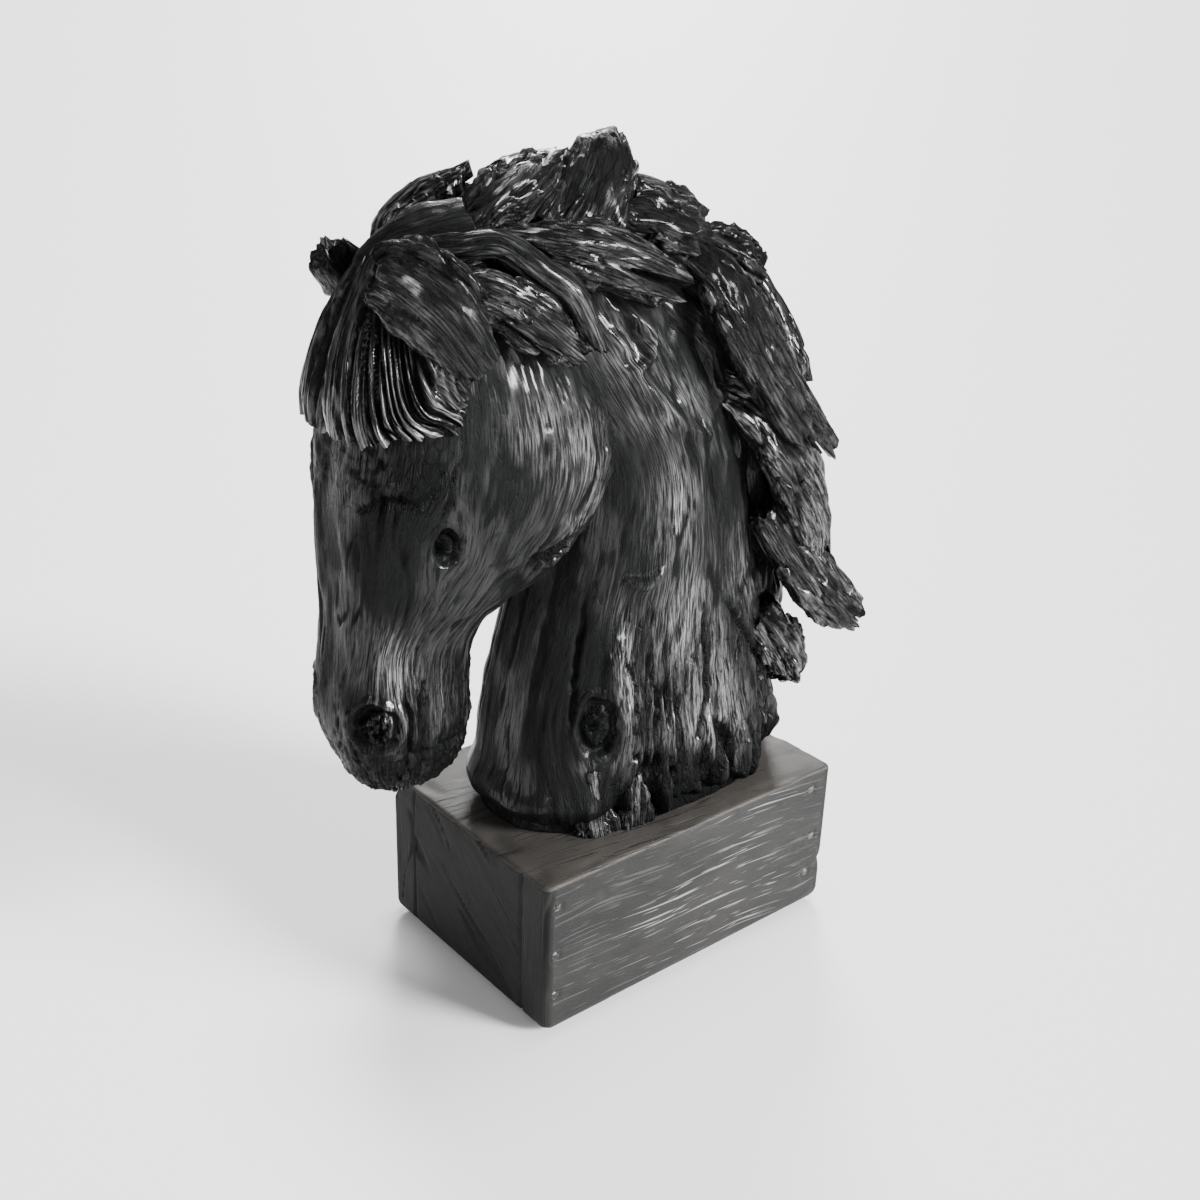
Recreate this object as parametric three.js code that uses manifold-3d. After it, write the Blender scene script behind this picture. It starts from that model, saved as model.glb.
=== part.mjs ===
// Horse head in driftwood style on a block of nailed boards, in millimetres.
// +Z is up. The horse looks along -X, and its left side faces -Y.
// The origin is the middle of the block's underside.

import * as THREE from "three";
import { LoftGeometry } from "three/addons/geometries/LoftGeometry.js";
import { mergeVertices } from "three/addons/utils/BufferGeometryUtils.js";
import Module from "manifold-3d";

const wasm = await Module();
wasm.setup();

// The block that the figure stands on
const BLOCK_LENGTH = 218;
const BLOCK_WIDTH = 150;
const BLOCK_HEIGHT = 97;
const BLOCK_FOOT_RADIUS = 9; // rounding of the underside's edges
const BLOCK_TOP_RADIUS = 2.5;
const BLOCK_CORNER_RADIUS = 5; // rounding of the upright corners
const LEAST_CORNER_RADIUS = 1; // what is left of it at the drawn-in ends
const BOARD_THICKNESS = 23; // the side boards, whose ends show at the front and back
const JOINT_WIDTH = 2.2; // the groove where two boards meet
const JOINT_DEPTH = 1.6;

// The figure: every station below is a share of its height, in hundredths
const FIGURE_HEIGHT = 367.7;
const SEAT_GAP = 0.3; // between the block's top and the figure's cut underside
const UNIT = FIGURE_HEIGHT / 100;

// Horizontal sections, from the bottom up:
// height, front, back, half width, squareness, taper (above 0 the front is the wider end)
const NECK = [
  [0, -24, 27.5, 15.5, 2.3, -0.05],
  [3, -25, 29, 17, 2.3, -0.05],
  [10, -25, 28.5, 16.8, 2.3, -0.05],
  [20, -24, 27, 15.2, 2.3, -0.05],
  [32, -21, 25, 13.8, 2.3, -0.05],
  [44, -17, 23, 12.6, 2.3, 0],
  [56, -16, 20, 11.6, 2.3, 0],
  [68, -24, 14, 11, 2.3, 0],
  [78, -31, 8, 10.2, 2.2, 0],
  [86, -33, 2, 8.4, 2.1, 0],
  [91, -30, -3, 5, 2, 0]
];

const HEAD = [
  [12, -44, -36, 2.5, 2, 0],
  [14.5, -47.5, -32.5, 5.5, 2.3, 0],
  [19, -50, -31, 7.8, 2.5, 0.05],
  [24, -51.3, -30.6, 9.2, 2.6, 0.08],
  [29, -51.4, -30.8, 9.4, 2.6, 0.06],
  [35, -50.8, -30, 9.4, 2.6, 0.03],
  [38.5, -50.5, -26.6, 9.9, 2.7, 0],
  [42, -50.4, -20, 10.8, 2.9, -0.05],
  [47, -50.3, -13.6, 12, 3.1, -0.08],
  [53, -50.2, -9.8, 12.8, 3.2, -0.08],
  [59, -49.8, -8.2, 13.3, 3.1, -0.06],
  [66, -48.8, -9, 13, 2.8, 0],
  [73, -47, -13, 12, 2.5, 0],
  [80, -44.5, -20, 10.4, 2.3, 0],
  [86, -41.5, -24, 8.2, 2.2, 0],
  [89, -39.5, -28, 5, 2, 0]
];

const FORELOCK = [
  [66, -50.8, -34.5, 11.6, 2.6, 0],
  [70, -50.8, -33.5, 11.8, 2.5, 0],
  [76, -49.2, -31.5, 11.2, 2.3, 0],
  [82, -46.4, -30.5, 9.2, 2.2, 0],
  [87, -43, -31, 6, 2, 0],
  [89, -41, -34, 3, 2, 0]
];

const FORELOCK_SHIFT = -1.3; // it hangs a little to the left

// The body of the mane, behind the neck and over its crest
const MANE = [
  [14, 14, 28, 6, 2.2, 0],
  [20, 8, 30.5, 9, 2.2, 0],
  [32, 6, 31.5, 11, 2.3, 0],
  [46, 4, 31, 10.8, 2.3, 0],
  [60, 0, 28.5, 10.6, 2.3, 0],
  [72, -8, 24, 10.4, 2.2, 0],
  [82, -24, 15.5, 10, 2.2, 0],
  [88.5, -33, 9, 8.2, 2.1, 0],
  [92.5, -31, 2, 6, 2.1, 0],
  [95.5, -24, -3, 3.4, 2, 0]
];

// A lock of the mane runs along its stations: x, y, z, width, thickness
const CREST_LOCKS = [
  [[-42, 0, 84.6, 8, 5], [-37.5, -3.5, 87, 11, 7], [-31.5, -5.5, 88.6, 10, 7]],
  [[-36.6, 5, 89, 3.5, 4], [-32.3, 4, 91.4, 5, 5], [-28.4, 3, 93.2, 6, 5], [-25.4, 2.5, 94.4, 4.5, 4]],
  [[-29.4, -5, 92.1, 6, 5], [-24.1, -3.5, 93.8, 8, 6], [-17.8, -1, 95.2, 7.5, 5], [-14.4, 0, 96.2, 5, 4]],
  [[-15.6, -6, 90.3, 9, 5], [-12, -4.5, 93.8, 10, 6], [-7.9, -2, 97, 7.6, 5], [-4.5, 0.2, 99.3, 1.6, 2]],
  [[-2, 4, 90.4, 6, 6], [6, 4, 88.6, 6.5, 6], [11.8, 4, 86.2, 6.5, 6], [15.4, 3.4, 84.6, 5, 4]],
  [[-10.9, -5, 90.2, 5, 4], [-5.2, -6.5, 89.2, 7, 5], [-0.3, -7.5, 87.4, 7.5, 5], [4.1, -8, 86.3, 6, 4]],
  [[8.7, -2, 84, 6, 4], [13.1, -4, 82.8, 7, 5], [16.8, -5, 80.6, 7, 5], [19.4, -5.4, 79.3, 5, 4]],
  [[20.6, 0, 77, 6, 7], [26, -1.4, 69.3, 7, 7], [29.4, -3, 63.4, 7, 6], [31.7, -4, 59.8, 4.5, 4]]
];

const SIDE_LOCKS = [
  [[-25.6, -7.5, 88, 4, 7], [-20.4, -10, 87, 7, 8], [-13.4, -11, 85, 7.5, 8], [-2.3, -11.6, 80, 5, 7]],
  [
    [-35.5, -7.5, 88, 3.5, 7],
    [-31.1, -10, 88.4, 3.8, 7],
    [-26.9, -12.4, 85.3, 4.2, 7],
    [-22.8, -13.4, 81.8, 4.2, 7],
    [-18.5, -13.8, 74.3, 2.4, 6]
  ],
  [
    [-37.8, -11, 84.2, 4, 4],
    [-33.4, -13, 82.7, 6.5, 4],
    [-28.5, -14.6, 79.4, 6.8, 3.5],
    [-20, -14.6, 72.8, 2.5, 3]
  ],
  [
    [5, -9, 81.5, 6, 5],
    [8.8, -11.5, 75.5, 8, 5.5],
    [15.6, -12.2, 66.5, 9, 5.5],
    [24.6, -11.6, 56.6, 8.5, 5],
    [33, -10.5, 49.2, 4.5, 4]
  ],
  [[13.6, -10.5, 62.5, 5, 4], [19.4, -11, 58, 6, 4], [23.6, -11, 55.1, 4, 3]],
  [[15.5, -11.5, 58, 6, 4], [21.3, -12.3, 50.8, 9, 5], [26.8, -12.8, 42.3, 10, 5], [30.5, -12, 34.2, 6, 4]],
  [[21, -11.5, 39.5, 6, 5], [26.5, -13, 32.5, 8, 5], [33.5, -15, 25.8, 7, 4.5], [37.6, -16, 22.4, 3.5, 3]],
  [[21.7, -10, 22.1, 5, 4], [27, -11, 15.3, 5, 4], [26.9, -11, 12.4, 4, 3]]
];

const FAR_LOCK_WIDTH = 7.6; // the right side has only the locks that are broader than this

// Roots that run down to the block, on the left side
const ROOTS = [
  [[-15.2, -11.9, 11, 2, 2], [-14.6, -12.4, 5, 4.5, 2.6], [-13.8, -12.6, -1, 8, 3]],
  [[-8.8, -14.2, 9, 2, 2], [-8.2, -14.4, 4, 4, 2.6], [-7.6, -14.2, -1, 6.5, 2.6]]
];

// The ears, from the head to the tip
const NEAR_EAR = [
  [-35.6, -12.8, 74.4, 6, 4],
  [-40.3, -12.2, 80.8, 10.5, 4.5],
  [-43.9, -9.8, 84.6, 10, 4],
  [-46.6, -7.2, 86.6, 7, 3]
];
const FAR_EAR = [[-38.4, 10, 79.8, 5, 4], [-40.7, 10, 82.7, 7, 5], [-43.7, 9.5, 86.3, 5, 4]];

const LOCK_SQUARENESS = 2.6;
const LOCK_FLUTING = 0.8; // thickness in the flutes along a lock, as a share of its full thickness

// The rounded body that the locks lie on: the way out of it is the way that their broad faces look
const MANE_CENTRE = new THREE.Vector3(-4, 0, 55);
const MANE_REACH = new THREE.Vector3(30, 13, 41);

// Knots in the wood: a ring round a bowl, which holds a bead or not
const KNOTS = [
  { spot: [-48.9, -7.7, 26.5], face: [-0.63, -0.78, 0.03], radius: 3.2, rim: 0.9, bead: 0, paired: true },
  { spot: [-39.6, -11.6, 51.4], face: [-0.17, -0.97, 0], radius: 2.1, rim: 0.7, bead: 1.5, paired: true },
  { spot: [-22.2, -11.5, 46.8], face: [0.16, -0.92, -0.36], radius: 1.9, rim: 0.8, bead: 0, paired: false },
  { spot: [-14.8, -12.6, 17], face: [-0.38, -0.91, 0.16], radius: 3.1, rim: 0.9, bead: 0, paired: false }
];

const BOWL_SHARE = 0.9; // radius of the bowl, as a share of the ring's inner radius

// The neck's front is drawn in under the jaw: height of the middle, reach up and down, depth, reach round it
const THROAT = { height: 26, reach: 20, depth: 0.1, breadth: 0.3 };

// Ribs round the foot of the neck and flutes down the forelock: how many, depth, height they fade at or slant
const BARK = { ribs: 9, depth: 0.012, fade: 26 };
const FLUTES = { ribs: 11, depth: 0.035, slant: 0.12 };

// One value of a smooth run through four stations
function glide(a, b, c, d, t) {
  return b + 0.5 * t * (c - a + t * (2 * a - 5 * b + 4 * c - d + t * (3 * (b - c) + d - a)));
}

// The stations with rows of smooth steps between them
function fill(stations, steps) {
  const last = stations.length - 1;
  const rows = [];
  for (let i = 0; i < last; i++) {
    const around = [Math.max(i - 1, 0), i, i + 1, Math.min(i + 2, last)].map((k) => stations[k]);
    for (let s = 0; s < steps; s++)
      rows.push(stations[i].map((_, k) => glide(...around.map((row) => row[k]), s / steps)));
  }
  rows.push([...stations[last]]);
  return rows;
}

const rounded = (value, squareness) => Math.sign(value) * Math.abs(value) ** (2 / squareness);

// A closed surface as a solid that can be joined and cut
function solidOf({ attributes, index }) {
  const bare = new THREE.BufferGeometry().setAttribute("position", attributes.position).setIndex(index);
  const merged = mergeVertices(bare, 1e-4);
  return new wasm.Manifold(
    new wasm.Mesh({
      numProp: 3,
      vertProperties: merged.attributes.position.array,
      triVerts: new Uint32Array(merged.index.array)
    })
  );
}

const loft = (rings) => solidOf(new LoftGeometry(rings, { capStart: true, capEnd: true }));

// A stack of horizontal sections, whose outline swell moves in and out
function column(stations, sides, swell = () => 0) {
  const rings = fill(stations, 2).map(([height, front, back, half, squareness, taper]) => {
    const ring = [];
    for (let i = 0; i < sides; i++) {
      const angle = (i / sides) * 2 * Math.PI;
      const along = rounded(Math.cos(angle), squareness);
      const across = rounded(Math.sin(angle), squareness);
      const reach = 1 + swell(angle, height);
      const x = (front + back) / 2 + (along * reach * (back - front)) / 2;
      const y = across * reach * half * (1 - taper * along);
      ring.push(new THREE.Vector3(x, y, height).multiplyScalar(UNIT));
    }
    return ring;
  });
  return loft(rings);
}

// A flattened, fluted lock along its path
function lock(path) {
  const sides = 8;
  const rows = fill(path, 2);
  const spots = rows.map(([x, y, z]) => new THREE.Vector3(x, y, z));
  const rings = rows.map(([, , , width, thickness], i) => {
    const after = spots[Math.min(i + 1, spots.length - 1)];
    const ahead = after.clone().sub(spots[Math.max(i - 1, 0)]).normalize();
    const out = spots[i].clone().sub(MANE_CENTRE).divide(MANE_REACH).divide(MANE_REACH);
    out.addScaledVector(ahead, -out.dot(ahead)).normalize();
    const side = new THREE.Vector3().crossVectors(out, ahead);
    const ring = [];
    for (let k = 0; k < sides; k++) {
      const angle = (k / sides) * 2 * Math.PI;
      const across = rounded(Math.cos(angle), LOCK_SQUARENESS) * (width / 2);
      const lift = rounded(Math.sin(angle), LOCK_SQUARENESS) * (thickness / 2) * (k % 2 ? 1 : LOCK_FLUTING);
      const corner = spots[i].clone().addScaledVector(side, across).addScaledVector(out, lift);
      ring.push(corner.multiplyScalar(UNIT));
    }
    return ring;
  });
  return loft(rings);
}

const broadest = (path) => Math.max(...path.map((row) => row[3]));
const mirrored = ([x, y, ...rest]) => [x, -y, ...rest];

function ball(spot, radii) {
  const geometry = new THREE.SphereGeometry(UNIT, 8, 6).scale(...radii);
  return solidOf(geometry.translate(...spot.map((share) => share * UNIT)));
}

function knotted(solid, { spot, face, radius, rim, bead }) {
  const turn = new THREE.Quaternion().setFromUnitVectors(
    new THREE.Vector3(0, 0, 1),
    new THREE.Vector3(...face).normalize()
  );
  const ring = new THREE.TorusGeometry(radius * UNIT, rim * UNIT, 4, 12).applyQuaternion(turn);
  ring.translate(...spot.map((share) => share * UNIT));
  const bowl = (radius - rim / 2) * BOWL_SHARE;
  const cut = solid.add(solidOf(ring)).subtract(ball(spot, [bowl, bowl, bowl]));
  const seat = spot.map((share, i) => share - (face[i] * bead) / 2);
  return bead ? cut.add(ball(seat, [bead, bead, bead])) : cut;
}

function horseHead() {
  const hollow = (angle, height) => {
    const open = Math.exp(-(((height - THROAT.height) / THROAT.reach) ** 4));
    const bark = Math.exp(-((height / BARK.fade) ** 4)) * BARK.depth * Math.sin(BARK.ribs * angle);
    return bark - THROAT.depth * open * Math.exp(-(((angle - Math.PI) / THROAT.breadth) ** 2));
  };
  const flutes = (angle, height) => FLUTES.depth * Math.sin(FLUTES.ribs * angle + height * FLUTES.slant);
  let solid = column(NECK, 26, hollow);
  const parts = [
    column(HEAD, 20),
    column(MANE, 16),
    column(FORELOCK, 30, flutes).translate([0, FORELOCK_SHIFT * UNIT, 0]),
    ...[...CREST_LOCKS, ...SIDE_LOCKS, ...ROOTS, NEAR_EAR, FAR_EAR].map(lock),
    ...SIDE_LOCKS.filter((path) => broadest(path) > FAR_LOCK_WIDTH).map((path) => lock(path.map(mirrored)))
  ];
  for (const part of parts) solid = solid.add(part);
  for (const knot of KNOTS) {
    solid = knotted(solid, knot);
    const opposite = { ...knot, spot: mirrored(knot.spot), face: mirrored(knot.face) };
    if (knot.paired) solid = knotted(solid, opposite);
  }
  return solid.trimByPlane([0, 0, 1], 0);
}

// The block: a stack of rounded rectangles, with a groove where the side boards meet the end boards
function block() {
  const level = (height, inset) => {
    const [x, y] = [BLOCK_LENGTH / 2 - inset, BLOCK_WIDTH / 2 - inset];
    const r = Math.max(BLOCK_CORNER_RADIUS - inset, LEAST_CORNER_RADIUS);
    const shape = new THREE.Shape();
    shape.moveTo(x, -y + r).lineTo(x, y - r).absarc(x - r, y - r, r, 0, Math.PI / 2);
    shape.lineTo(-x + r, y).absarc(-x + r, y - r, r, Math.PI / 2, Math.PI);
    shape.lineTo(-x, -y + r).absarc(-x + r, -y + r, r, Math.PI, 1.5 * Math.PI);
    shape.lineTo(x - r, -y).absarc(x - r, -y + r, r, 1.5 * Math.PI, 2 * Math.PI);
    return shape.getPoints(4).slice(0, -1).map((p) => new THREE.Vector3(p.x, p.y, height));
  };
  const rings = [];
  const turns = 4;
  for (let i = 0; i <= turns; i++) {
    const angle = (i / turns) * (Math.PI / 2);
    rings.push(level(BLOCK_FOOT_RADIUS * (1 - Math.cos(angle)), BLOCK_FOOT_RADIUS * (1 - Math.sin(angle))));
  }
  rings.push(level(BLOCK_HEIGHT - BLOCK_TOP_RADIUS, 0), level(BLOCK_HEIGHT, BLOCK_TOP_RADIUS));
  let solid = loft(rings);
  for (const end of [-1, 1])
    for (const side of [-1, 1]) {
      const groove = new THREE.BoxGeometry(2 * JOINT_DEPTH, JOINT_WIDTH, 2 * BLOCK_HEIGHT);
      groove.translate((end * BLOCK_LENGTH) / 2, side * (BLOCK_WIDTH / 2 - BOARD_THICKNESS), 0);
      solid = solid.subtract(solidOf(groove));
    }
  return solid;
}

function meshOf(name, solid, material) {
  const { numProp, numVert, vertProperties, triVerts } = solid.getMesh();
  const positions = new Float32Array(numVert * 3);
  for (let i = 0; i < numVert; i++)
    positions.set(vertProperties.subarray(i * numProp, i * numProp + 3), i * 3);
  const geometry = new THREE.BufferGeometry();
  geometry.setAttribute("position", new THREE.BufferAttribute(positions, 3));
  geometry.setIndex(new THREE.BufferAttribute(triVerts, 1));
  geometry.computeVertexNormals();
  const mesh = new THREE.Mesh(geometry, material);
  mesh.name = name;
  return mesh;
}

const glossBlack = new THREE.MeshStandardMaterial({ color: 0x1b1c1d, roughness: 0.38, metalness: 0 });
const satinBlack = new THREE.MeshStandardMaterial({ color: 0x2b2a2a, roughness: 0.55, metalness: 0 });

const sculpture = new THREE.Group();
const figure = meshOf("horse_head", horseHead(), glossBlack);
figure.position.z = BLOCK_HEIGHT + SEAT_GAP;
sculpture.add(figure, meshOf("plinth", block(), satinBlack));

export default sculpture;
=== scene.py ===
"""Horse head in driftwood style, on a block of nailed boards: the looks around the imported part.

Lengths are in metres. The horse looks along -X, its left side faces -Y, and +Z is up.
"""

import itertools

import bpy
import numpy as np
from mathutils import Matrix, Vector

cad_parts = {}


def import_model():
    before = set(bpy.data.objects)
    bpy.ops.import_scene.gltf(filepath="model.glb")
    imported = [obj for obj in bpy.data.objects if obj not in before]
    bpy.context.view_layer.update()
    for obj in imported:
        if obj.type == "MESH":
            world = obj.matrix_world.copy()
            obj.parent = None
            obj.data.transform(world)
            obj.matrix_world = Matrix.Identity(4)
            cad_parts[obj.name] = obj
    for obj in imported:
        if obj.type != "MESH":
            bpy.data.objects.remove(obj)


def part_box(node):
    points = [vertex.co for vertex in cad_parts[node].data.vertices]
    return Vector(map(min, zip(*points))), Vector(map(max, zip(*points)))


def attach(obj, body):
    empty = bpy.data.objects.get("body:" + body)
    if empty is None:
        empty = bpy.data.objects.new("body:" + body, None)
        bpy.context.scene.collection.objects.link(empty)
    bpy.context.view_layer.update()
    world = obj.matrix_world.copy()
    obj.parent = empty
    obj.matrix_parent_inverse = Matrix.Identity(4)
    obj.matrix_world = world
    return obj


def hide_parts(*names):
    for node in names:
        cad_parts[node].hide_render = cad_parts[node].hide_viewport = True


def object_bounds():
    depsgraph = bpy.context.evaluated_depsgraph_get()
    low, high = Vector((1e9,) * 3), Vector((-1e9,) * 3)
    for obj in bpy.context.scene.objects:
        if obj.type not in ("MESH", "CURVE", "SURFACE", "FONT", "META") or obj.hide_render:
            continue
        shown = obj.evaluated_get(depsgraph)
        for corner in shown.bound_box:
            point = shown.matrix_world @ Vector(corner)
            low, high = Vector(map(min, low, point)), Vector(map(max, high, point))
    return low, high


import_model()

bl_info = {
    "name": "Driftwood Horse Head",
    "version": (1, 0, 0),
    "blender": (4, 5, 0),
    "location": "View3D > Sidebar > Horse Head",
    "description": "Builds a horse head in driftwood style on a block of nailed boards",
    "category": "Add Mesh",
}

CAD_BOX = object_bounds()
BLOCK_LOW, BLOCK_HIGH = (Vector(corner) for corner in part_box("plinth"))
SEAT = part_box("horse_head")[0][2]
FIGURE_HEIGHT = 0.3677
UNIT = FIGURE_HEIGHT / 100

# Horizontal sections as shares of the figure's height, in hundredths, from the bottom up:
# height, front, back, half width, squareness, taper
NECK = [
    [0, -24, 27.5, 15.5, 2.3, -0.05],
    [3, -25, 29, 17, 2.3, -0.05],
    [10, -25, 28.5, 16.8, 2.3, -0.05],
    [20, -24, 27, 15.2, 2.3, -0.05],
    [32, -21, 25, 13.8, 2.3, -0.05],
    [44, -17, 23, 12.6, 2.3, 0],
    [56, -16, 20, 11.6, 2.3, 0],
    [68, -24, 14, 11, 2.3, 0],
    [78, -31, 8, 10.2, 2.2, 0],
    [86, -33, 2, 8.4, 2.1, 0],
    [91, -30, -3, 5, 2, 0],
]
HEAD = [
    [12, -44, -36, 2.5, 2, 0],
    [14.5, -47.5, -32.5, 5.5, 2.3, 0],
    [19, -50, -31, 7.8, 2.5, 0.05],
    [24, -51.3, -30.6, 9.2, 2.6, 0.08],
    [29, -51.4, -30.8, 9.4, 2.6, 0.06],
    [35, -50.8, -30, 9.4, 2.6, 0.03],
    [38.5, -50.5, -26.6, 9.9, 2.7, 0],
    [42, -50.4, -20, 10.8, 2.9, -0.05],
    [47, -50.3, -13.6, 12, 3.1, -0.08],
    [53, -50.2, -9.8, 12.8, 3.2, -0.08],
    [59, -49.8, -8.2, 13.3, 3.1, -0.06],
    [66, -48.8, -9, 13, 2.8, 0],
    [73, -47, -13, 12, 2.5, 0],
    [80, -44.5, -20, 10.4, 2.3, 0],
    [86, -41.5, -24, 8.2, 2.2, 0],
    [89, -39.5, -28, 5, 2, 0],
]
FORELOCK = [
    [66, -50.8, -34.5, 11.6, 2.6, 0],
    [70, -50.8, -33.5, 11.8, 2.5, 0],
    [76, -49.2, -31.5, 11.2, 2.3, 0],
    [82, -46.4, -30.5, 9.2, 2.2, 0],
    [87, -43, -31, 6, 2, 0],
    [89, -41, -34, 3, 2, 0],
]
MANE = [
    [14, 14, 28, 6, 2.2, 0],
    [20, 8, 30.5, 9, 2.2, 0],
    [32, 6, 31.5, 11, 2.3, 0],
    [46, 4, 31, 10.8, 2.3, 0],
    [60, 0, 28.5, 10.6, 2.3, 0],
    [72, -8, 24, 10.4, 2.2, 0],
    [82, -24, 15.5, 10, 2.2, 0],
    [88.5, -33, 9, 8.2, 2.1, 0],
    [92.5, -31, 2, 6, 2.1, 0],
    [95.5, -24, -3, 3.4, 2, 0],
]

# The forelock's shift to the left, and the middle of its swirl
FORELOCK_SHIFT = -1.3
EDDY = (-36.5, -12.5, 74.0)

# Locks as stations along each one: x, y, z, width, thickness
CREST_LOCKS = [
    [[-42, 0, 84.6, 8, 5], [-37.5, -3.5, 87, 11, 7], [-31.5, -5.5, 88.6, 10, 7]],
    [[-36.6, 5, 89, 3.5, 4], [-32.3, 4, 91.4, 5, 5], [-28.4, 3, 93.2, 6, 5],
     [-25.4, 2.5, 94.4, 4.5, 4]],
    [[-29.4, -5, 92.1, 6, 5], [-24.1, -3.5, 93.8, 8, 6], [-17.8, -1, 95.2, 7.5, 5],
     [-14.4, 0, 96.2, 5, 4]],
    [[-15.6, -6, 90.3, 9, 5], [-12, -4.5, 93.8, 10, 6], [-7.9, -2, 97, 7.6, 5],
     [-4.5, 0.2, 99.3, 1.6, 2]],
    [[-2, 4, 90.4, 6, 6], [6, 4, 88.6, 6.5, 6], [11.8, 4, 86.2, 6.5, 6], [15.4, 3.4, 84.6, 5, 4]],
    [[-10.9, -5, 90.2, 5, 4], [-5.2, -6.5, 89.2, 7, 5], [-0.3, -7.5, 87.4, 7.5, 5],
     [4.1, -8, 86.3, 6, 4]],
    [[8.7, -2, 84, 6, 4], [13.1, -4, 82.8, 7, 5], [16.8, -5, 80.6, 7, 5], [19.4, -5.4, 79.3, 5, 4]],
    [[20.6, 0, 77, 6, 7], [26, -1.4, 69.3, 7, 7], [29.4, -3, 63.4, 7, 6], [31.7, -4, 59.8, 4.5, 4]],
]
# How ragged each of these locks is, from 0 for a smooth one
CREST_ROUGHNESS = [0.3, 1.1, 1.1, 0.6, 0.6, 1.1, 1.1, 1.0]

# Shards between the locks, and the ear's broken rim
SHARDS = [
    [[-22, -7, 88.5, 4, 4], [-17.5, -5.5, 92, 5, 4], [-13.5, -3.5, 95, 4.5, 3.5],
     [-11.5, -2, 97, 2, 2.5]],
    [[-19, -8, 87.5, 4, 4], [-15, -6.8, 91, 5, 4], [-11.6, -5, 94, 4.5, 3.5],
     [-9.5, -3.5, 96, 2.5, 2.5]],
    [[-13.5, -8, 87, 4, 4], [-10.5, -7, 90.5, 5, 4], [-7.5, -5.4, 94, 4, 3.5], [-6, -4, 96.5, 2, 2.5]],
    [[-28, -4, 90, 4, 4], [-24, -3.6, 93.5, 5, 4], [-20.5, -2.5, 95.8, 4, 3.5],
     [-18.6, -1.6, 97, 2, 2.5]],
    [[-46.4, -7, 87.4, 2, 2.5], [-44.4, -8.2, 88.7, 2.8, 3.2], [-41, -10.9, 88, 3.2, 3.6],
     [-37.6, -13.1, 84.6, 3, 3.4], [-35, -13.5, 80.8, 2, 2.6]],
]

# Locks down the left side of the mane
SIDE_LOCKS = [
    [[-25.6, -7.5, 88, 4, 7], [-20.4, -10, 87, 7, 8], [-13.4, -11, 85, 7.5, 8],
     [-2.3, -11.6, 80, 5, 7]],
    [[-35.5, -7.5, 88, 3.5, 7], [-31.1, -10, 88.4, 3.8, 7],
     [-26.9, -12.4, 85.3, 4.2, 7], [-22.8, -13.4, 81.8, 4.2, 7],
     [-18.5, -13.8, 74.3, 2.4, 6]],
    [[-37.8, -11, 84.2, 4, 4], [-33.4, -13, 82.7, 6.5, 4],
     [-28.5, -14.6, 79.4, 6.8, 3.5], [-20, -14.6, 72.8, 2.5, 3]],
    [[5, -9, 81.5, 6, 5], [8.8, -11.5, 75.5, 8, 5.5], [15.6, -12.2, 66.5, 9, 5.5],
     [24.6, -11.6, 56.6, 8.5, 5], [33, -10.5, 49.2, 4.5, 4]],
    [[13.6, -10.5, 62.5, 5, 4], [19.4, -11, 58, 6, 4], [23.6, -11, 55.1, 4, 3]],
    [[15.5, -11.5, 58, 6, 4], [21.3, -12.3, 50.8, 9, 5], [26.8, -12.8, 42.3, 10, 5],
     [30.5, -12, 34.2, 6, 4]],
    [[18, -10.5, 45, 6, 5], [22.5, -12.3, 38.5, 8.4, 5], [28, -13.6, 31.5, 9, 5],
     [33.5, -15, 25.8, 8, 4.5], [37.6, -16, 22.4, 4, 3]],
    [[19, -10, 27, 7, 5], [24, -11, 20, 8, 5], [27.4, -11, 14.6, 7, 4.5], [27, -11, 11.8, 4, 3]],
]
SIDE_ROUGHNESS = [0.9, 0.4, 0.9, 1.1, 1.0, 0.8, 0.7, 1.0]

# Side locks broader than this are on both sides, and those that start higher than this are rooted
FAR_LOCK_WIDTH = 7.6
ROOTED_ABOVE = 45

# Ridges at the foot of the neck
ROOTS = [
    [[-15.2, -11.9, 11, 2, 2], [-14.6, -12.4, 5, 4.5, 2.6], [-13.8, -12.6, -1, 8, 3]],
    [[-8.8, -14.2, 9, 2, 2], [-8.2, -14.4, 4, 4, 2.6], [-7.6, -14.2, -1, 6.5, 2.6]],
]

# Ears, as stations like those of the locks
NEAR_EAR = [
    [-35.6, -12.8, 74.4, 6, 4],
    [-40.3, -12.2, 80.8, 9.6, 4.5],
    [-43.9, -9.8, 84.6, 10, 4],
    [-46.6, -7.2, 86.6, 7, 3],
]
FAR_EAR = [[-38.4, 10, 79.8, 5, 4], [-40.7, 10, 82.7, 7, 5], [-43.7, 9.5, 86.3, 5, 4]]

# The ellipsoid that the locks face away from
MANE_CENTRE = np.array([-4, 0, 55.0])
MANE_REACH = np.array([30, 13, 41.0])

# Knots: spot, the way they face, ring radius, rim, bead, on both sides or not, height over breadth
KNOTS = [
    ([-48.9, -7.7, 26.5], [-0.63, -0.78, 0.03], 3.3, 0.9, 0, True, 1),
    ([-39.6, -11.6, 51.4], [-0.17, -0.97, 0], 2.1, 0.7, 1.5, True, 1.3),
    ([-22.2, -11.5, 46.8], [0.16, -0.92, -0.36], 2.1, 0.8, 0, False, 0.8),
    ([-14.6, -12.6, 17.6], [-0.38, -0.91, 0.16], 3, 0.9, 0, False, 1.5),
]

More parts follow.
